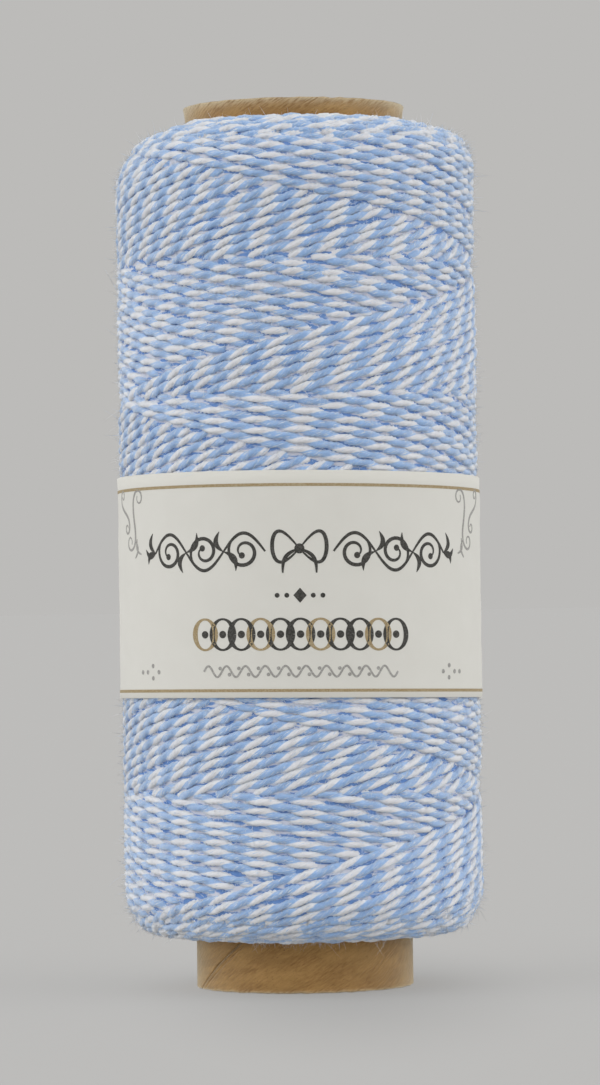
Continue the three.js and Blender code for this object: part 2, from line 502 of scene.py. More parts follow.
def sweep(path, outward, strand, along, turns, width=1.0):
    """Carries the ply section along many strands at once.

    path and outward are one row a point, strand tells which strand a point is on, along is the
    length in millimetres and turns the ply turns so far. Ring point = path + r(cos out + sin up).
    The untwisted strands lie one after the other, NEXT_STRAND apart, so that no two look alike.
    """
    joined = strand[1:] == strand[:-1]
    step = np.where(joined[:, None], np.diff(path, axis=0), 0)
    none = np.zeros((1, 3))
    tangent = unit(np.concatenate([step, none]) + np.concatenate([none, step]))
    outward = unit(outward - tangent * np.sum(outward * tangent, axis=1, keepdims=True))
    upward = np.cross(outward, tangent)
    angle, radius = strand_section()
    turned = angle[None, :] + 2 * np.pi * turns[:, None]
    size = radius[None, :] * np.broadcast_to(width, strand.shape)[:, None]
    rings = (
        path[:, None, :]
        + (size * np.cos(turned) * PRESSED)[..., None] * outward[:, None, :]
        + (size * np.sin(turned))[..., None] * upward[:, None, :]
    )
    side = np.arange(STRAND_SIDES)[None, :]
    next_side = (side + 1) % STRAND_SIDES
    ring = np.flatnonzero(joined)[:, None] * STRAND_SIDES
    after = ring + STRAND_SIDES
    quads = stacked(ring + side, after + side, after + next_side, ring + next_side).reshape(-1, 4)
    first = np.flatnonzero(np.concatenate([[True], ~joined]))[:, None] * STRAND_SIDES
    last = np.flatnonzero(np.concatenate([~joined, [True]]))[:, None] * STRAND_SIDES
    caps = np.concatenate([first + side, (last + side)[:, ::-1]])
    ahead = along[:, None] + NEXT_STRAND * strand[:, None]
    flat = stacked(radius * np.cos(angle), radius * np.sin(angle), ahead)
    return rings.reshape(-1, 3), [quads, caps], flat.reshape(-1, 3)


# %% [markdown]
# ## Finish of the twine
#
# Soft cotton: matt, with a pale bloom where it turns away from the eye, which the sheen gives.
# The two plies meet in a slightly ragged line because loose fibres cross it. Along each ply
# the dye is uneven and single fibres catch the light.


# %% Twine finish
def twine_finish():
    """Blue and white cotton plies, from the strand's own straight coordinates."""
    bloom = {"Sheen_Weight": 1.0, "Sheen_Roughness": 0.85, "Sheen_Tint": (0.93, 0.97, 1.0, 1)}
    finish = Finish("blue_and_white_cotton", 0.9, Specular_IOR_Level=0.15, **bloom)
    place = finish.attribute("strand")
    fibres = finish.noise(place, (8.0, 8.0, 1.1), 1.6, 4.0, 0.7)
    patches = finish.noise(place, (1.0, 1.0, 0.35), 1.1, 2.0)
    strays = finish.noise(place, (7.0, 7.0, 1.0), 1.2, 1.0)
    ragged = finish.maths("MULTIPLY_ADD", fibres, 0.30, -0.15)
    across = finish.maths("ADD", finish.axis(place, "X"), ragged)
    blue_share = finish.smooth(across, -0.20, -0.05)
    streak = finish.smooth(fibres, 0.25, 0.75)
    blue = finish.mix(streak, (0.072, 0.250, 0.640, 1), (0.305, 0.590, 1.000, 1))
    blue = finish.mix(patches, blue, (0.190, 0.450, 0.900, 1))
    blue = finish.mix(finish.smooth(strays, 0.60, 0.68), blue, (0.780, 0.850, 0.950, 1))
    white = finish.mix(streak, (0.850, 0.845, 0.890, 1), (0.985, 0.980, 1.000, 1))
    white = finish.mix(finish.smooth(strays, 0.64, 0.72), white, (0.440, 0.600, 0.860, 1))
    finish.wire("Base Color", finish.mix(blue_share, white, blue))
    finish.bump(fibres, 0.00010, 1.0)
    return finish.material


TWINE = twine_finish()

# %% [markdown]
# ## The outer turns
#
# All 26 double strokes are worked out as one table of points, a row a stroke. Near the ends the
# zigzag is rounded: the height follows sqrt(x^2 + w^2) instead of |x|. A strand lies on top
# where its age is the smaller one, and dives under its neighbours by most of a strand's
# thickness where it isn't. Only what shows is kept, and a short overhang beneath what covers
# it, so that no strand ends in view.


# %% Paths of the strokes
# Unevenness of the lay: an amount, or the points between two draws and an amount.
WANDER = 0.12
OFF_PLACE = 0.07
SLOW_SWAY = 28, 0.10
QUICK_SWAY = 9, 0.04
DEPTH_SWAY = 16, 0.06
TWIST_SWAY = 40, 0.10
WIDTH_SWAY = 12, 0.05

# Lag of the ply turns from stroke to stroke, in turns, and its drift round the spool.
LAG_STEP = 0.04
LAG_WALK = 0.035
JUMP_CHANCE, JUMP = 0.09, 0.35
DRIFT = 0.5
DRIFT_WAVES, DRIFT_STEP = 0.83, 0.09

TURN_ZONE = 1.5
TURN_SHOWS = 0.3
PAPER_COVERS = 1.6


def wander(azimuth, z, seed):
    """Slow unevenness of the lay, from a few waves that close round the spool."""
    waves = np.sin(3 * azimuth + 0.31 * z + seed) + np.sin(5 * azimuth - 0.23 * z + 2.1 * seed)
    return 0.5 * waves + 0.5 * np.sin(8 * azimuth + 0.71 * z + 0.7 * seed)


def unsteady(shape, spacing, amount, random):
    """Smooth chance values along each row: one draw every so many points, eased between them.

    Value = amount x (a (1 - e) + b e), with the draws a and b on both sides, e = 3t^2 - 2t^3."""
    knots = random.normal(0, 1, (shape[0], shape[1] // spacing + 2))
    at = np.arange(shape[1]) / spacing
    low = at.astype(int)
    ease = smoothstep(at - low - 0.5)
    return amount * (knots[:, low] * (1 - ease) + knots[:, low + 1] * ease)


def band_middle(azimuth):
    """Height of the band's middle: it is crooked, so its front and its left stand higher."""
    forward, sideways = np.tan(BAND_TILT) * np.cos(azimuth), np.tan(BAND_LEAN) * np.sin(azimuth)
    return BAND_CENTRE + BAND_RADIUS * (forward - sideways)


def band_share(azimuth, z):
    """How far a height is inside the paper band, in millimetres: negative outside it."""
    return BAND_HEIGHT / 2 - np.abs(z - band_middle(azimuth))


def band_squeeze(azimuth, z):
    """One beneath the paper band, zero away from it, eased over SQUEEZE_WAY inside its edges."""
    return smoothstep(band_share(azimuth, z) / SQUEEZE_WAY + 0.5)


def rounded(height):
    """Height of a stroke whose turns are rounded: each end follows sqrt(x^2 + w^2).

    Over the last few millimetres the strokes spread a little, to reach over the shoulders."""
    to_top, to_bottom = TOP_TURN - height, height - BOTTOM_TURN
    top = np.hypot(to_top, TURN_ROUNDING) - to_top
    bottom = np.hypot(to_bottom, TURN_ROUNDING) - to_bottom
    near_top = np.maximum(1 - to_top / END_ZONE, 0) ** 2
    near_bottom = np.maximum(1 - to_bottom / END_ZONE, 0) ** 2
    return height + bottom - top + END_SPREAD * (near_top - BOTTOM_SPREAD * near_bottom)


def ply_turns(azimuth, random):
    """Turns of the plies: one in PLY_TURN of way round the spool, and a lag that wanders.

    The dashes of neighbours stand nearly in columns, as the lag from one stroke to the next is
    small: lag = LAG_STEP x stroke + a random walk with a few larger jumps that ends near zero."""
    stroke = np.arange(STROKES)
    jumping = random.uniform(0, 1, STROKES) < JUMP_CHANCE
    jumps = np.where(jumping, random.uniform(-JUMP, JUMP, STROKES), 0)
    walk = np.cumsum(random.normal(0, LAG_WALK, STROKES) + jumps)
    lag = walk - walk[-1] * stroke / STROKES + LAG_STEP * stroke
    way = azimuth * WOUND_RADIUS / np.cos(CLIMB_ANGLE)
    drift = DRIFT * np.sin(azimuth * DRIFT_WAVES + DRIFT_STEP * stroke[:, None])
    return way / PLY_TURN + lag[:, None] + drift


def lay(azimuth, height, other_age, lead):
    """How far one family lies over the other, from 0 to 1, and which of its points show.

    The newer strand is the upper one: over = smoothstep(crossing age - own age, in strokes).
    It dives again where the oldest crossing strand gives way to the newest. Kept are the
    points on top, OVERHANG strokes on both sides of them, and the turns at the ends."""
    other = other_age(azimuth, height)
    past = (other - ages[:, None] - lead) * STROKES
    on_top = smoothstep(past) * smoothstep((1 - other) * STROKES)
    to_end = np.minimum(TOP_TURN - height, height - BOTTOM_TURN)
    near_turn = np.exp(-((to_end / TURN_ZONE) ** 2))
    on_top = on_top * (1 - near_turn) + 0.5 * near_turn
    shows = (past > -OVERHANG) | (other * STROKES < OVERHANG) | (near_turn > TURN_SHOWS)
    return on_top, shows


def both_legs(up, down):
    """The climbing and the falling leg of each stroke as one row, their common point once."""
    return np.concatenate([up, down[:, 1:]], 1)


rng = np.random.default_rng(26)
steps = int((TOP_TURN - BOTTOM_TURN) / np.sin(CLIMB_ANGLE) / STRAND_STEP)
ages = (np.arange(STROKES) + 0.5) / STROKES
up_height = np.broadcast_to(np.linspace(BOTTOM_TURN, TOP_TURN, steps), (STROKES, steps))
down_height = up_height[:, ::-1]
up_azimuth = (up_height - NEWEST_RISING_AT + PITCH * ages[:, None]) * 2 * np.pi / PITCH
down_azimuth = (NEWEST_FALLING_AT - down_height + PITCH * ages[:, None]) * 2 * np.pi / PITCH
top_jump = down_azimuth[:, :1] - up_azimuth[:, -1:]
down_azimuth = down_azimuth - np.round(top_jump / (2 * np.pi)) * 2 * np.pi
print("gap of the legs at the top turn", np.abs(down_azimuth[:, 0] - up_azimuth[:, -1]).max().round(4))

up_top, up_shows = lay(up_azimuth, up_height, falling_age, 0.5 / STROKES)
down_top, down_shows = lay(down_azimuth, down_height, rising_age, -0.5 / STROKES)
azimuth = both_legs(up_azimuth, down_azimuth)
height = both_legs(up_height, down_height)
on_top = both_legs(up_top, down_top)
shows = both_legs(up_shows, down_shows)
climbing = np.arange(azimuth.shape[1])[None, :] < steps

shape = azimuth.shape
z = rounded(height) + WANDER * wander(azimuth, height, 0.4)
z = z + rng.uniform(-OFF_PLACE, OFF_PLACE, (STROKES, 1))
z = z + unsteady(shape, *SLOW_SWAY, rng) + unsteady(shape, *QUICK_SWAY, rng)
out, up = profile_slope(z)
depth = STRAND / 2 - lap_relief(azimuth, height) + unsteady(shape, *DEPTH_SWAY, rng)
squeezed = band_squeeze(azimuth, z)
depth = depth * (1 - squeezed) + SQUEEZED_DEPTH * squeezed + (1 - on_top) * DIVE
radius = wound_profile(z) - depth * out
z = z - depth * up
path = slumped(azimuth, radius, z)
outward = around(azimuth, out, up)
length = running_length(path)
stroke_length = length[:, -1].mean()
total = length + (STROKES - 1 - np.arange(STROKES))[:, None] * stroke_length
turns = ply_turns(azimuth, rng) + unsteady(shape, *TWIST_SWAY, rng)
width = 1 + unsteady(shape, *WIDTH_SWAY, rng)
shows = shows & (band_share(azimuth, z) < PAPER_COVERS)
print("twine in the outer layer", round(stroke_length * STROKES / 1000, 2), "m")


# %% Outer turns as pieces
def strands_piece(name, keep):
    """Sweeps the kept stretches of the strokes into one joined mesh, without the few stretches
    that are too short to have a direction."""
    starts = keep & ~np.concatenate([np.zeros((STROKES, 1), bool), keep[:, :-1]], 1)
    strand = np.cumsum(starts.ravel())
    long_enough = np.bincount(strand, weights=keep.ravel()) >= 3
    chosen = keep.ravel() & long_enough[strand]
    places = [rows.reshape(-1, 3)[chosen] for rows in (path, outward)]
    along, turned, wide = (rows.ravel()[chosen] for rows in (total, turns, width))
    points, faces, flat = sweep(*places, strand[chosen], along, turned, wide)
    piece = make_piece(name, points, faces, TWINE, {"strand": flat})
    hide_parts("twine_winding")


above_band = z > BAND_CENTRE
strands_piece("twine_upper_climbing", shows & above_band & climbing)
strands_piece("twine_upper_falling", shows & above_band & ~climbing)
strands_piece("twine_lower", shows & ~above_band)

# %% [markdown]
# ## The end faces
#
# Each layer of the winding turns back a little short of the end of the tube, and the turns of
# all the layers, stacked outwards, make the two end faces. Seen from the end they are rings of
# short arcs, each lying on its right neighbour and under its left one, like shingles. Only the
# crown of each arc shows, so an arc is a short stretch of strand whose legs sink into the body.

# %% Turning arcs at both ends
ARC_SPACING = 0.98
ARC_SINK = 1.1
ARC_DEPTH = 0.15
ARC_POINTS = 24
SHINGLE = 0.26
SHINGLE_WAY = 0.6
INNERMOST_TURN = 13.35
FIRST_RING = 0.9
SHOULDER_POINTS, FLAT_POINTS = 400, 60
FARTHEST_START = 90.0
OFF_ANGLE, OFF_DEPTH, OFF_RADIUS, OFF_COURSE = 0.020, 0.04, 0.05, 0.06


def shoulder_rings(reach, end_z, side_z, outermost_z):
    """Centres and outward normals of the rings of arcs, from the last outer turn in.

    They lie evenly spaced on the profile: the superellipse of the shoulder, where
    r = inner r + reach x sin(a)^(2/n) and z = side + height x cos(a)^(2/n), then the flat."""
    angle = np.linspace(0, np.pi / 2, SHOULDER_POINTS)
    r = WOUND_RADIUS - reach + reach * np.sin(angle) ** (2 / SHOULDER_POWER)
    z = side_z + (end_z - side_z) * np.cos(angle) ** (2 / SHOULDER_POWER)
    inner = np.linspace(INNERMOST_TURN, r[0], FLAT_POINTS)[:-1]
    r = np.concatenate([inner, r])
    z = np.concatenate([np.full_like(inner, end_z), z])
    keep = np.abs(z - side_z) >= np.abs(outermost_z - side_z)
    r, z = r[keep], z[keep]
    lengths = np.concatenate([[0], np.cumsum(np.hypot(np.diff(r), np.diff(z)))])
    count = int(lengths[-1] / ARC_SPACING)
    at = lengths[-1] - (np.arange(count) + FIRST_RING) * ARC_SPACING
    at = at[at > 0]
    ring_r, ring_z, slope_r, slope_z = (
        np.interp(at, lengths, values)
        for values in (r, z, np.gradient(r, lengths), np.gradient(z, lengths))
    )
    size = np.hypot(slope_r, slope_z)
    sign = np.sign(end_z - side_z)
    return ring_r, ring_z, -sign * slope_z / size, sign * slope_r / size


def turning_arcs(name, rings, sign, seed):
    """Arcs of twine at one end: height falls as sqrt(x^2 + w^2) - w away from each crown."""
    ring_r, ring_z, out, up = (values[:, None, None] for values in rings)
    random = np.random.default_rng(seed)
    reach = np.sqrt((TURN_ROUNDING + ARC_SINK) ** 2 - TURN_ROUNDING**2)
    count = len(ring_r)
    middle = (np.arange(STROKES)[None, :] + random.uniform(0, 1, (count, 1))) * 2 * np.pi / STROKES

    def chance(amount):
        """One chance value an arc."""
        return random.normal(0, amount, (count, STROKES))[:, :, None]

    x = np.linspace(-reach, reach, ARC_POINTS)[None, None, :]
    azimuth = middle[:, :, None] + chance(OFF_ANGLE) + x * 2 * np.pi / PITCH
    drop = np.hypot(x, TURN_ROUNDING) - TURN_ROUNDING
    lift = SHINGLE * np.tanh(x / SHINGLE_WAY) - ARC_DEPTH - STRAND / 2 + chance(OFF_DEPTH)
    radius = ring_r + chance(OFF_RADIUS) + chance(OFF_COURSE) * x + lift * out
    path = slumped(azimuth, radius, ring_z + lift * up - sign * drop)
    along = running_length(path)
    start = random.uniform(0, FARTHEST_START, (count, STROKES, 1))
    points, faces, flat = sweep(
        path.reshape(-1, 3),
        around(azimuth, out, up).reshape(-1, 3),
        np.repeat(np.arange(count * STROKES), ARC_POINTS),
        along.ravel(),
        ((along + start) / PLY_TURN).ravel(),
    )
    piece = make_piece(name, points, faces, TWINE, {"strand": flat})
    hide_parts("twine_winding")


top_rings = shoulder_rings(TOP_REACH, WOUND_TOP, WOUND_TOP - TOP_HEIGHT, TOP_TURN - 0.4)
bottom_rings = shoulder_rings(BOTTOM_REACH, WOUND_BOTTOM, WOUND_BOTTOM + BOTTOM_HEIGHT, BOTTOM_TURN)
turning_arcs("twine_top_turns", top_rings, 1, 3)
turning_arcs("twine_bottom_turns", bottom_rings, -1, 4)

# %% [markdown]
# ## The body beneath the turns
#
# Between two strands one looks down on the layer below. That layer is one plain turned body a
# little under the surface, with the streaks of its own crossing strands in its finish, painted
# darker than the outer twine as painted shade between the strands. It also closes the winding
# against the tube and fills it beneath the paper band.

# %% Inner body
BODY_DEPTH = 0.48
BODY_END_DEPTH = 0.35
BODY_END_ZONE = 5.0
BODY_ROWS, BODY_COLUMNS = 130, 180
BODY_OFF_TUBE = 0.3


def painted_shade_body_finish():
    """Older turns in painted shade: short streaks of blue and white lying round the spool, darker than
    the outer twine.
    """
    finish = Finish("older_turns_painted_shade", 0.95, Specular_IOR_Level=0.1)
    place = finish.attribute("unrolled")
    streaks = finish.noise(place, (0.42, 1.7, 1.7), 1.0, 2.0)
    fibres = finish.noise(place, (2.0, 9.0, 9.0), 1.0, 3.0)
    dash = finish.smooth(streaks, 0.44, 0.56)
    # painted shade: this blue and the white below are darker than the outer twine's colours
    blue = finish.mix(fibres, (0.105, 0.215, 0.480, 1), (0.235, 0.395, 0.740, 1))
    finish.wire("Base Color", finish.mix(dash, blue, (0.680, 0.695, 0.770, 1)))
    finish.bump(streaks, 0.0004, 0.8)
    return finish.material


def inner_body():
    """A turned ring just under the outer turns: profile times circle, with the laps' relief."""
    half = (WOUND_TOP - WOUND_BOTTOM - 0.02) / 2
    z = (WOUND_TOP + WOUND_BOTTOM) / 2 + half * np.sin(np.linspace(-1, 1, BODY_ROWS) * np.pi / 2)
    out, up = profile_slope(z)
    azimuth = np.arange(BODY_COLUMNS)[None, :] * 2 * np.pi / BODY_COLUMNS
    relief = lap_relief(azimuth, z[:, None]) * (1 - band_squeeze(azimuth, z[:, None]))
    inside = np.minimum(WOUND_TOP - z, z - WOUND_BOTTOM) / BODY_END_ZONE
    depth = BODY_DEPTH + BODY_END_DEPTH * (1 - np.clip(inside, 0, 1))
    radius = (wound_profile(z) - depth * out)[:, None] + relief
    height = np.broadcast_to((z - depth * up)[:, None], radius.shape)
    radius = np.concatenate([radius, np.full((2, BODY_COLUMNS), tube_high[0] + BODY_OFF_TUBE)])
    height = np.concatenate([height, height[[-1, 0]]])
    points = slumped(azimuth, radius, height)
    unrolled = stacked(np.abs(azimuth - np.pi) * WOUND_RADIUS, height, radius)
    faces = [grid_faces(len(height), BODY_COLUMNS, close_rows=True, close_columns=True)]
    attributes = {"unrolled": unrolled}
    piece = make_piece("twine_inner_body", points, faces, painted_shade_body_finish(), attributes)
    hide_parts("twine_winding")


inner_body()

# %% [markdown]
# ## The tube
#
# Strips of kraft paper are glued, wound in a spiral on a steel rod and cut to length. The
# outermost strip leaves a seam that climbs round the tube, the cut ends show the plies as
# rings, and handling makes the edges a little furry. A lathe could turn the plain tube, but
# here the columns of the grid lean with the seam, so that the seam is one sharp column.

# %% Kraft tube
TUBE_RADIUS = 12.7
TUBE_BORE_RADIUS = 10.9
TUBE_EDGE = 0.22
SEAM_CLIMB = 58.0
SEAM_AT_FRONT = 11.6
SEAM_LEAN = np.arctan(SEAM_CLIMB / (2 * np.pi * TUBE_RADIUS))
PLIES = 5
TUBE_COLUMNS = 150
SIDE_ROWS, FACE_ROWS, CORNER_ROWS = 84, 26, 5
INNER_STRIP = 40
CROWDED = 0.82

# Place beside the seam, depth and width of its groove and of a fainter crease.
SEAM_GROOVES = (0.0, 0.20, 0.17), (1.0, 0.10, 0.14)
LIP_AT, LIP, LIP_WAY = 0.4, 0.09, 1.8
WORN_WAY = 0.35
WEAR_WAYS = 0.9, 0.3
TOP_FLARE, FLARE_WAY = 0.32, 1.1
EDGE_WAVE, FACE_WAVE, PLY_WAVE = 0.12, 0.11, 0.03
PLY_GROOVE, PLY_GROOVE_WIDTH = 0.07, 0.12


def edge_waves(azimuth, seed, amount):
    """Ragged height of a cut edge: a sum of twelve waves with seeded sizes and phases."""
    random = np.random.default_rng(seed)
    counts = random.integers(7, 70, 12)[:, None]
    waves = np.sin(counts * azimuth.reshape(1, -1) + random.uniform(0, 7, (12, 1)))
    return amount * waves.mean(0).reshape(azimuth.shape) * 2


def tube_profile():
    """Rows of the section, from the outer foot up, in over the top, down the bore and back."""
    length, bend = tube_high[2], np.linspace(0, np.pi / 2, CORNER_ROWS)
    up = length / 2 * (1 - np.cos(np.linspace(0, np.pi, SIDE_ROWS)))
    up = TUBE_EDGE + up * (length - 2 * TUBE_EDGE) / length
    face = np.linspace(TUBE_RADIUS - TUBE_EDGE, TUBE_BORE_RADIUS + TUBE_EDGE, FACE_ROWS)
    corner_out, corner_up = TUBE_EDGE * (1 - np.cos(bend)), TUBE_EDGE * np.sin(bend)
    down = up[::4][::-1]
    r = [np.full(len(up), TUBE_RADIUS), TUBE_RADIUS - corner_out[1:-1], face]
    z = [up, length - TUBE_EDGE + corner_up[1:-1], np.full(len(face), length)]
    r += [(TUBE_BORE_RADIUS + corner_out[1:-1])[::-1], np.full(len(down), TUBE_BORE_RADIUS)]
    z += [(length - TUBE_EDGE + corner_up[1:-1])[::-1], down]
    r += [TUBE_BORE_RADIUS + corner_out[1:-1], face[::-1], (TUBE_RADIUS - corner_out[1:-1])[::-1]]
    z += [TUBE_EDGE - corner_up[1:-1], np.zeros(len(face)), (TUBE_EDGE - corner_up[1:-1])[::-1]]
    return np.concatenate(r), np.concatenate(z)


def kraft_finish():
    """Brown paper: fibres that run along the strip, flecks, and paler wear at the cut ends."""
    sheen = {"Sheen_Weight": 1.0, "Sheen_Roughness": 0.5, "Sheen_Tint": (1.0, 0.93, 0.72, 1)}
    finish = Finish("kraft_paper", 0.9, Specular_IOR_Level=0.2, **sheen)
    place = finish.attribute("strip")
    fibres = finish.noise(place, (3.2, 0.5, 0.0), 1.5, 5.0, 0.65)
    clouds = finish.noise(place, (0.5, 0.25, 0.0), 1.0, 3.0)
    flecks = finish.noise(place, (6.0, 2.5, 0.0), 1.7, 2.0)
    rubbed = finish.noise(place, (0.22, 0.26, 0.0), 1.0, 3.0)
    from_seam = finish.maths("ABSOLUTE", finish.axis(place, "X"))
    wear = finish.smooth(finish.axis(place, "Z"), 0.1, 1.0)
    furred = finish.maths("MULTIPLY", wear, finish.smooth(fibres, 0.3, 0.6))
    streak = finish.smooth(fibres, 0.25, 0.75)
    brown = finish.mix(streak, (0.215, 0.104, 0.027, 1), (0.460, 0.258, 0.086, 1))
    layers = [
        (finish.smooth(clouds, 0.38, 0.64, 0.0, 0.6), (0.435, 0.252, 0.082, 1)),
        (finish.smooth(rubbed, 0.44, 0.70, 0.0, 0.5), (0.215, 0.108, 0.030, 1)),
        (finish.smooth(flecks, 0.62, 0.72), (0.120, 0.064, 0.024, 1)),
        (finish.smooth(from_seam, 0.05, 0.40, 0.7, 0.0), (0.085, 0.055, 0.030, 1)),
        (furred, (0.620, 0.500, 0.320, 1)),
    ]
    for amount, tone in layers:
        brown = finish.mix(amount, brown, tone)
    cut = finish.attribute("cut")
    waved = finish.maths("ADD", finish.axis(cut, "X"), finish.maths("MULTIPLY", clouds, 0.3))
    ring = finish.maths("ABSOLUTE", finish.maths("SUBTRACT", finish.maths("FRACT", waved), 0.5))
    ring = finish.smooth(ring, 0.20, 0.46, 0.0, 0.9)
    ring = finish.maths("MULTIPLY", ring, finish.axis(cut, "Y"))
    finish.wire("Base Color", finish.mix(ring, brown, (0.235, 0.140, 0.058, 1)))
    finish.bump(fibres, 0.00012, 0.8)
    return finish.material


def kraft_tube():
    """Radius = section + seam groove; azimuth = column + 2 pi z / climb of the seam.

    The columns crowd towards the seam: column = u - CROWDED / 2 pi x sin(2 pi u)."""
    even = np.arange(TUBE_COLUMNS) / TUBE_COLUMNS
    column = (even - CROWDED / (2 * np.pi) * np.sin(2 * np.pi * even))[None, :]
    r, z = (rows[:, None] for rows in tube_profile())
    azimuth = 2 * np.pi * (column + (z - SEAM_AT_FRONT) / SEAM_CLIMB)
    to_end = np.minimum(z, tube_high[2] - z)
    near_end = np.exp(-to_end / WORN_WAY)
    outside = smoothstep((r - TUBE_RADIUS + 0.05) / 0.1)
    on_face = smoothstep((near_end - 0.8) / 0.2) * (1 - outside)
    upper = z > tube_high[2] / 2
    inward = np.where(upper, -1.0, 1.0)

    from_seam = (column - np.round(column)) * 2 * np.pi * TUBE_RADIUS
    seam = -sum(deep * np.exp(-(((from_seam - at) / wide) ** 2)) for at, deep, wide in SEAM_GROOVES)
    seam = seam + LIP * np.exp(-np.abs(from_seam - LIP_AT) / LIP_WAY) * (from_seam > 0.1)
    flare = TOP_FLARE * np.exp(-(tube_high[2] - z) / FLARE_WAY)
    worn = near_end * edge_waves(azimuth, 5, EDGE_WAVE) * outside
    radius = r + seam * outside + worn + flare

    ply = (r - TUBE_BORE_RADIUS) / (TUBE_RADIUS - TUBE_BORE_RADIUS) * PLIES
    groove = np.exp(-(((ply - np.round(ply)) / PLY_GROOVE_WIDTH) ** 2))
    groove = groove * (np.abs(ply - PLIES / 2) < PLIES / 2 - 0.4)
    ragged = edge_waves(azimuth, 6, FACE_WAVE) * (0.4 + 0.6 * outside) - 0.08
    ragged = ragged + PLY_WAVE * np.sin(7 * ply + edge_waves(azimuth, 7, 3.0))
    height = z + inward * on_face * PLY_GROOVE * groove
    height = height - inward * near_end * np.minimum(ragged, 0.0) * 1.2
    points = around(azimuth, radius, height)

    across = column * 2 * np.pi * TUBE_RADIUS * np.sin(SEAM_LEAN)
    across = across + INNER_STRIP * (r < TUBE_RADIUS - 0.1) * ply
    wear = np.exp(-to_end / np.where(upper, *WEAR_WAYS))
    strip = stacked(across, z / np.sin(SEAM_LEAN) + 3 * ply, wear)
    cut = stacked(ply, on_face, 0 * across)
    faces = [grid_faces(len(r), TUBE_COLUMNS, close_rows=True, close_columns=True)]
    attributes = {"strip": strip, "cut": cut}
    piece = make_piece("kraft_tube", points, faces, kraft_finish(), attributes)
    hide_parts("core_tube")


kraft_tube()

# %% [markdown]
# ## The paper band
#
# A strip of smooth paper, put round the winding by hand and glued to itself at the back. It
# sits a little crooked. The strip is a thin closed sheet: an outer grid, the same grid one
# paper's thickness further in, and an edge all round. Its radius takes up the faint lumps of
# the twine beneath, and the last stretch climbs onto the start of the strip.

# %% Paper band
PAPER_FROM, PAPER_TO = np.radians(-190.0), np.radians(192.0)
PAPER_LIFTS_AT = np.radians(168.0)
LIFT_WAY = np.radians(4)
GLUE = 0.04
LUMP, FINE_LUMP = 0.025, 0.015
EDGE_FLARE = 0.05
EDGE_ROUNDING = 0.05
LOOSE_END = 0.16
PAPER_COLUMNS, PAPER_ROWS = 384, 20
THROUGH_PAPER = 9


def band_radius(azimuth, height):
    """Outer radius of the paper: a cylinder, plus lumps, edges that stand off, and the lap."""
    lumps = LUMP * wander(azimuth, height * 2, 1.7) + FINE_LUMP * np.sin(11 * azimuth + height)
    edge = np.abs(height - BAND_HEIGHT / 2) / (BAND_HEIGHT / 2)
    flare = EDGE_FLARE * edge**6 * (0.5 + 0.5 * np.sin(4 * azimuth + 1.0 + (height > 10)))
    lap = smoothstep((azimuth - PAPER_LIFTS_AT) / LIFT_WAY) * (PAPER + GLUE)
    loose_end = LOOSE_END * np.clip((azimuth - PAPER_TO + LIFT_WAY) / LIFT_WAY, 0, 1) ** 2
    return BAND_RADIUS + lumps + flare + lap + loose_end


def on_band(azimuth, height, stand=0.0):
    """Point on the paper at an azimuth and a height above the band's lower edge."""
    z = band_middle(azimuth) + height - BAND_HEIGHT / 2
    return around(azimuth, band_radius(azimuth, height) + stand, z)


def thin_sheet_faces(rows, columns):
    """Faces of a closed sheet: the rows run over the outer side and back over the inner one."""
    around_rows = grid_faces(rows, columns, close_rows=True)
    low = np.arange(rows // 2 - 1)[:, None]
    pairs = np.concatenate([low, low + 1, rows - 2 - low, rows - 1 - low], 1) * columns
    return [around_rows, pairs[:, ::-1], pairs + columns - 1]


def paper_finish():
    """Uncoated cream paper: faint cloudy formation, fine tooth, warmer towards its edges."""
    finish = Finish("cream_paper", 0.75, Specular_IOR_Level=0.3)
    place = finish.attribute("sheet")
    clouds = finish.noise(place, (0.35, 0.35, 1.0), 1.0, 4.0)
    tooth = finish.noise(place, (5.0, 7.0, 1.0), 1.6, 4.0, 0.6)
    paper = finish.mix(clouds, (0.695, 0.680, 0.625, 1), (0.735, 0.723, 0.668, 1))
    paper = finish.mix(finish.maths("MULTIPLY", tooth, 0.35), paper, (0.656, 0.640, 0.588, 1))
    rise = finish.maths("SUBTRACT", finish.axis(place, "Y"), BAND_HEIGHT / 2)
    margin = finish.smooth(finish.maths("ABSOLUTE", rise), 11.0, 12.4, 0.0, 0.7)
    finish.wire("Base Color", finish.mix(margin, paper, (0.720, 0.705, 0.642, 1)))
    finish.wire("Roughness", finish.smooth(tooth, 0.3, 0.7, 0.68, 0.82))
    finish.bump(tooth, 0.00003, 0.6)
    return finish.material


def paper_band():
    """Grid over the strip's length and over its outer side, its edge and its inner side."""
    length = np.linspace(PAPER_FROM, PAPER_TO, PAPER_COLUMNS)[None, :]
    rise = np.linspace(0, BAND_HEIGHT, PAPER_ROWS)[1:-1]
    rise = np.concatenate([[0, EDGE_ROUNDING], rise, [BAND_HEIGHT - EDGE_ROUNDING, BAND_HEIGHT]])
    stand = np.zeros_like(rise)
    stand[[0, -1]] = -EDGE_ROUNDING
    rise = np.concatenate([rise, rise[::-1]])[:, None]
    stand = np.concatenate([stand, -PAPER - stand])[:, None]
    points = on_band(length, rise, stand)
    attributes = {"sheet": stacked(length * BAND_RADIUS, rise, stand * THROUGH_PAPER)}
    faces = thin_sheet_faces(len(rise), PAPER_COLUMNS)
    piece = make_piece("paper_band", points, faces, paper_finish(), attributes)
    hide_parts("label_band")


paper_band()

# %% [markdown]
# ## The print
#
# The band is printed with two gold lines and, between them, ornaments of a common kind in dark
# grey, gold and pale grey. Ink has a thickness too, though a very small one, so each stroke is
# a flat ribbon that stands a fiftieth of a millimetre proud of the paper and reaches a little
# into it. Ribbons keep crisp edges at any size of picture, which a painted texture does not.

# %% Ink strokes
INK_PROUD = 0.022
STROKE_POINTS = 41


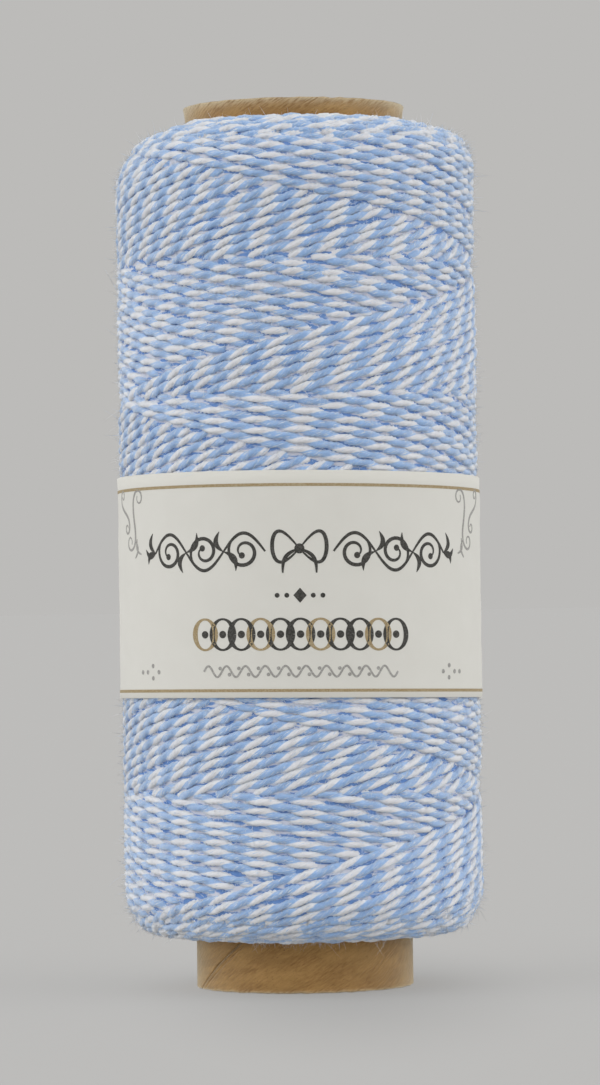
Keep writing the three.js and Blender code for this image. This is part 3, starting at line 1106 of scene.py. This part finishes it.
def ink_finish(name, thin, full):
    """Printing ink: matt, with a slightly uneven cover that lets the paper's tooth through."""
    finish = Finish(name, 0.7, Specular_IOR_Level=0.3)
    place = finish.node("TexCoord").outputs["Object"]
    cover = finish.noise(place, EVEN, 5200.0, 3.0, 0.6)
    finish.wire("Base Color", finish.mix(finish.smooth(cover, 0.35, 0.6), thin, full))
    finish.bump(cover, 0.00002, 0.5)
    return finish.material


def ribbons(name, middle, width, finish):
    """Flat ribbons along many strokes: middle is (strokes, points, 2) in millimetres of way
    round and of height. Each side lies half a width off, at right angles to the stroke."""
    ahead = np.gradient(middle, axis=1)
    ahead /= np.maximum(np.linalg.norm(ahead, axis=2, keepdims=True), 1e-9)
    reach = np.broadcast_to(width, middle.shape[:2])[..., None] / 2
    side = np.stack([-ahead[..., 1], ahead[..., 0]], -1) * reach
    left, right = middle + side, middle - side
    corners = np.stack([left, right, right, left], 2)
    stand = np.array([INK_PROUD, INK_PROUD, -INK_PROUD, -INK_PROUD])
    points = on_band(corners[..., 0] / BAND_RADIUS, corners[..., 1], stand)
    strokes, count = middle.shape[:2]
    base = (np.arange(strokes) * count * 4)[:, None, None]
    walls = (base + grid_faces(count, 4, close_columns=True)[None]).reshape(-1, 4)
    caps = base[:, 0] + np.array([[0, 1, 2, 3]])
    ends = (base[:, 0] + (count - 1) * 4) + np.array([[3, 2, 1, 0]])
    piece = make_piece(name, points, [walls, caps, ends], finish, smooth=False)
    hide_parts("label_band")


def spiral_scroll(centre, size, lean, curl, power):
    """S-shaped scroll with a spiral at both ends: heading = curl x pi x |s|^power, summed up."""
    s = np.linspace(-1, 1, STROKE_POINTS)
    fine = np.linspace(-1, 1, STROKE_POINTS * 20)
    heading = curl * np.pi * np.abs(fine) ** power
    line = np.stack([np.cumsum(np.cos(heading)), np.cumsum(np.sin(heading))], -1)
    line = line - line[len(line) // 2]
    line = line / np.abs(line[:, 0]).max() * size / 2
    line = np.stack([np.interp(s, fine, line[:, 0]), np.interp(s, fine, line[:, 1])], -1)
    turn = np.array([[np.cos(lean), -np.sin(lean)], [np.sin(lean), np.cos(lean)]])
    return line @ turn.T + np.asarray(centre)


def mirrored(strokes):
    """The strokes and their mirror images about the front's middle."""
    strokes = np.asarray(strokes)
    return np.concatenate([strokes, (strokes * np.array([-1, 1]))[:, ::-1]])


def leaf(start, finish_at, bend=0.0):
    """A short bowed stroke between two points: straight line + bend x sin(pi t) to the side."""
    start, finish_at = np.asarray(start, float), np.asarray(finish_at, float)
    t = np.linspace(0, 1, STROKE_POINTS)[:, None]
    across = np.array([-(finish_at - start)[1], (finish_at - start)[0]])
    return start + (finish_at - start) * t + across * bend * np.sin(np.pi * t)


def dots(centres, size):
    """Round dots as very short strokes, and their widths: width = size x sqrt(1 - s^2)."""
    s = -np.cos(np.linspace(0, np.pi, STROKE_POINTS))
    centres = np.asarray(centres, float)
    middle = centres[:, None, :] + np.stack([s, 0 * s], -1)[None] * size / 2
    return middle, np.broadcast_to(size * np.sqrt(np.maximum(1 - s**2, 1e-4)), middle.shape[:2])


# Share of the way along an ink stroke.
SHARE = np.linspace(0, 1, STROKE_POINTS)
SWELL = np.sin(np.pi * SHARE)

# %% Gold lines
GOLD = ink_finish("gold_ink", (0.420, 0.340, 0.210, 1), (0.330, 0.245, 0.125, 1))
LINE_HEIGHTS = (0.83, BAND_HEIGHT - 1.66)
LINE_WIDTH = 0.34
way = np.linspace(np.radians(-167.4), np.radians(191.7), 360) * BAND_RADIUS
lines = np.stack([np.stack([way, np.full_like(way, h)], -1) for h in LINE_HEIGHTS])
ribbons("gold_lines", lines, LINE_WIDTH, GOLD)

# %% Dark ornaments
DARK = ink_finish("dark_ink", (0.085, 0.082, 0.074, 1), (0.038, 0.036, 0.031, 1))


def bow(centre, half, high):
    """A tied bow: loops (half cos t, 1.6 high sin t cos t) that lean up, and hanging ends."""
    t = np.pi * SHARE - np.pi / 2
    loop = np.stack([half * np.cos(t), 1.6 * high * np.sin(t) * np.cos(t)], -1)
    loop[:, 1] += 0.10 * loop[:, 0]
    tail = leaf((0, 0), (0.62 * half, -1.25 * high), 0.22)
    return mirrored([loop, tail]) + np.asarray(centre)


def curl_in(centre, radius, from_angle, turns_round, left=0.24):
    """Spiral inwards: centre + R (cos a, sin a), where a = start + 2 pi n t and the radius R
    shrinks evenly to its share that is left."""
    angle = from_angle + 2 * np.pi * turns_round * SHARE
    size = radius * (1 - (1 - left) * SHARE)
    return np.stack([size * np.cos(angle), size * np.sin(angle)], -1) + np.asarray(centre)


ROW = 16.6
ARCH = 5.0
ARCHES = 3
VINE_FROM = 3.9
VINE_HEIGHT = 2.1
BOW_AT = (0, ROW + 0.3)
DIAMOND_ROW = 11.6
arches = [(VINE_FROM + ARCH * (k + 0.5), (-1.0) ** k) for k in range(ARCHES)]
stem = [
    np.stack([m + ARCH * (SHARE - 0.5), ROW + side * VINE_HEIGHT * np.sin(np.pi * SHARE)], -1)
    for m, side in arches
]
curls = [curl_in((m, ROW), VINE_HEIGHT, side * np.pi / 2, -1.42 * side) for m, side in arches]
joints = [(VINE_FROM + ARCH * (k + 1), (-1.0) ** k) for k in range(ARCHES)]
vine_end = joints[-1][0]
leaves = [leaf((x, ROW), (x + 0.5, ROW + side * 2.3), -0.30 * side) for x, side in joints]
leaves += [leaf((x, ROW), (x - 1.5, ROW - side * 2.2), -0.25 * side) for x, side in joints[:-1]]
leaves += [leaf((vine_end, ROW), (vine_end + 1.9, ROW + 0.5), -0.30)]
leaves += [leaf((vine_end, ROW), (vine_end + 1.4, ROW - 1.2), 0.30)]
vines = mirrored(stem + curls + leaves)
stem_width = np.tile(0.22 + 0.16 * SWELL, (ARCHES, 1))
curl_width = np.tile(0.14 + 0.28 * np.sin(np.pi * SHARE**0.8), (ARCHES, 1))
leaf_width = np.tile(0.06 + 0.56 * SWELL, (len(leaves), 1))
vine_width = np.concatenate([stem_width, curl_width, leaf_width])
vine_width = np.concatenate([vine_width, vine_width[:, ::-1]])
berries = [curl[-1] for curl in curls]
berries, berry_width = dots(berries + [(-x, y) for x, y in berries], 0.72)
bows = bow(BOW_AT, 3.1, 2.2)
bow_width = np.tile(0.17 + 0.28 * SWELL, (len(bows), 1))
knot, knot_width = dots([BOW_AT], 1.15)
small, small_width = dots([(x, DIAMOND_ROW) for x in (-2.6, 2.6, -1.5, 1.5)], 0.55)
diamond = leaf((-0.75, DIAMOND_ROW), (0.75, DIAMOND_ROW))[None]
diamond_width = 1.7 * (1 - np.abs(2 * SHARE - 1))[None, :] + 0.02
ribbons(
    "dark_ornaments",
    np.concatenate([vines, berries, bows, knot, small, diamond]),
    np.concatenate([vine_width, berry_width, bow_width, knot_width, small_width, diamond_width]),
    DARK,
)

# %% Chain of loops in gold and dark ink
CHAIN_ROW = 7.2
LOOPS = 11
LOOP_SPACING = 2.28
LOOP_HALF, LOOP_RISE = 1.35, 1.75
middles = np.array([((k - (LOOPS - 1) / 2) * LOOP_SPACING, CHAIN_ROW) for k in range(LOOPS)])
loop = np.stack([LOOP_HALF * np.cos(2 * np.pi * SHARE), LOOP_RISE * np.sin(2 * np.pi * SHARE)], -1)
chain = loop[None] + middles[:, None, :]
chain_width = np.broadcast_to(0.24 + 0.42 * np.cos(2 * np.pi * SHARE) ** 2, chain.shape[:2])
pips, pip_width = dots(middles, 0.85)
gold_ones = np.arange(LOOPS) % 3 == 0
ribbons("gold_loops", chain[gold_ones], chain_width[gold_ones], GOLD)
ribbons(
    "dark_loops",
    np.concatenate([chain[~gold_ones], pips]),
    np.concatenate([chain_width[~gold_ones], pip_width]),
    DARK,
)

# %% Pale ornaments
PALE = ink_finish("pale_ink", (0.420, 0.410, 0.385, 1), (0.300, 0.292, 0.272, 1))
LOW_ROW = 3.0
WAVE_HALF = 11.6
WAVE_LENGTH = 2.32
WAVE_STROKES = 6
DOT_SPACING = WAVE_LENGTH / 2
SIDE_DOTS = (18.6, 0), (19.7, 0.7), (19.7, -0.7), (20.8, 0), (21.9, 0)
wave_way = np.linspace(-WAVE_HALF, WAVE_HALF, WAVE_STROKES * STROKE_POINTS)
wave_rise = LOW_ROW + 0.62 * np.sin(wave_way * 2 * np.pi / WAVE_LENGTH)
wave = np.stack([wave_way, wave_rise], -1).reshape(WAVE_STROKES, STROKE_POINTS, 2)
wave[:-1, -1] = wave[1:, 0]
dot_ways = np.arange(-9.5, 9.6, DOT_SPACING)
wave_dots, wave_dot_width = dots([(x, LOW_ROW + 0.35 * (-1) ** k) for k, x in enumerate(dot_ways)], 0.42)
corners = mirrored([
    spiral_scroll((23.6, 20.6), 6.2, 1.30, 2.3, 2.2),
    spiral_scroll((26.6, 21.6), 4.6, 0.45, 2.3, 2.2),
    leaf((22.9, 18.4), (21.9, 16.6), 0.3),
    leaf((23.3, 18.2), (23.4, 16.2), -0.3),
])
side_dots, side_dot_width = dots([(s * x, LOW_ROW + y) for s in (-1, 1) for x, y in SIDE_DOTS], 0.52)
wave_width = np.full(wave.shape[:2], 0.24)
corner_width = np.tile(0.16 + 0.20 * SWELL, (len(corners), 1))
ribbons(
    "pale_ornaments",
    np.concatenate([wave, wave_dots, corners, side_dots]),
    np.concatenate([wave_width, wave_dot_width, corner_width, side_dot_width]),
    PALE,
)

# %% [markdown]
# ## Loose fibres
#
# Cotton sheds: short fibre ends stand off the twine everywhere and soften its outline. Each is
# a three-sided hair that tapers and bends, and there are thousands, so each has few faces.

# %% Fuzz
HAIR_ROOT = 0.35
HAIR_TAPER = 0.6
BLUE_HAIRS = 0.45
OFF_BAND = 0.2
LEAST_LIFT = 0.25
HAIR_BEND = 0.5
LOWEST_HAIR, HIGHEST_HAIR = WOUND_BOTTOM - 2.5, tube_high[2] - 0.2

# Points along a hair, its radius, the shortest length and what chance adds, and the spread.
SHORT = {"points": 3, "radius": 0.027, "length": (0.34, 0.13), "spread": 0.6}
STRAY = {"points": 9, "radius": 0.014, "length": (0.6, 0.35), "spread": 0.9}
TUFT = {"points": 5, "radius": 0.011, "length": (0.35, 0.15), "spread": 0.7}


def fuzz_finish():
    """Loose blue and white cotton fibres, painted paler than the twine: painted light for the light that
    passes through them.
    """
    finish = Finish("loose_fibres_painted_pale", 0.9, Specular_IOR_Level=0.1, Sheen_Weight=0.6)
    dye = finish.axis(finish.attribute("dye"), "X")
    # painted light: the blue fibres are much paler than the twine's blue
    finish.wire("Base Color", finish.mix(dye, (0.930, 0.940, 0.970, 1), (0.620, 0.760, 0.960, 1)))
    return finish.material


FUZZ = fuzz_finish()


def hairs(name, seed, count, heights, points, radius, length, spread, sides=(-np.pi, np.pi)):
    """Pointed hairs: path = root + way x t + bend x t^2 for t from 0 to 1, with rings of three
    points that shrink as 1 - HAIR_TAPER x t, and one point at the tip."""
    random = np.random.default_rng(seed)
    z = random.uniform(*heights, 3 * count)
    azimuth = random.uniform(*sides, 3 * count)
    free = band_share(azimuth, z) < -OFF_BAND
    z, azimuth = z[free][:count], azimuth[free][:count]
    out, up = profile_slope(z)
    surface = wound_profile(z) + lap_relief(azimuth, z)
    root = slumped(azimuth, surface - HAIR_ROOT * out, z - HAIR_ROOT * up)
    outward = around(azimuth, out, up)
    reach = length[0] + random.gamma(3.0, length[1], (count, 1))
    way = outward * random.uniform(LEAST_LIFT, 1.0, (count, 1)) + random.normal(0, spread, (count, 3))
    way *= reach / np.linalg.norm(way, axis=1, keepdims=True)
    bend = random.normal(0, HAIR_BEND, (count, 3)) * reach
    t = np.linspace(0, 1, points)[None, :, None]
    path = root[:, None] + way[:, None] * t + bend[:, None] * t**2
    path[..., 2] = np.clip(path[..., 2], LOWEST_HAIR, HIGHEST_HAIR)

    side = unit(np.cross(way, outward[:, ::-1] + 0.3))[:, None]
    other = unit(np.cross(way, side[:, 0]))[:, None]
    corner = (np.arange(3) * 2 * np.pi / 3)[None, :, None]
    ring = side * np.cos(corner) + other * np.sin(corner)
    body = path[:, :-1, None] + ring[:, None] * (radius * (1 - HAIR_TAPER * t[:, :-1, :, None]))
    corners = np.concatenate([body.reshape(count, -1, 3), path[:, -1:]], 1)
    each = corners.shape[1]
    base = (np.arange(count) * each)[:, None, None]
    walls = (base + grid_faces(points - 1, 3, close_columns=True)[None]).reshape(-1, 4)
    k = np.arange(3)
    tips = stacked(each - 4 + k, each - 4 + (k + 1) % 3, each - 1)
    tips = (base + tips[None]).reshape(-1, 3)[:, ::-1]
    roots = base[:, 0] + np.array([[0, 1, 2]])
    dye = np.zeros((count, each, 3))
    dye[..., 0] = (random.uniform(0, 1, count) < BLUE_HAIRS)[:, None]
    piece = make_piece(name, corners, [walls, tips, roots], FUZZ, {"dye": dye})
    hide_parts("twine_winding")


LOW, HIGH = WOUND_BOTTOM + 0.2, WOUND_TOP - 0.2
FOOT = WOUND_BOTTOM + 0.1, WOUND_BOTTOM + 1.1
hairs("fuzz_above_the_band", 77, 16000, (BAND_CENTRE, HIGH), **SHORT)
hairs("fuzz_below_the_band", 78, 11200, (LOW, BAND_CENTRE), **SHORT)
hairs("stray_fibres", 79, 320, (LOW, HIGH), **STRAY)
hairs("tuft_at_the_foot", 80, 420, FOOT, **TUFT, sides=(-0.34, 0.24))
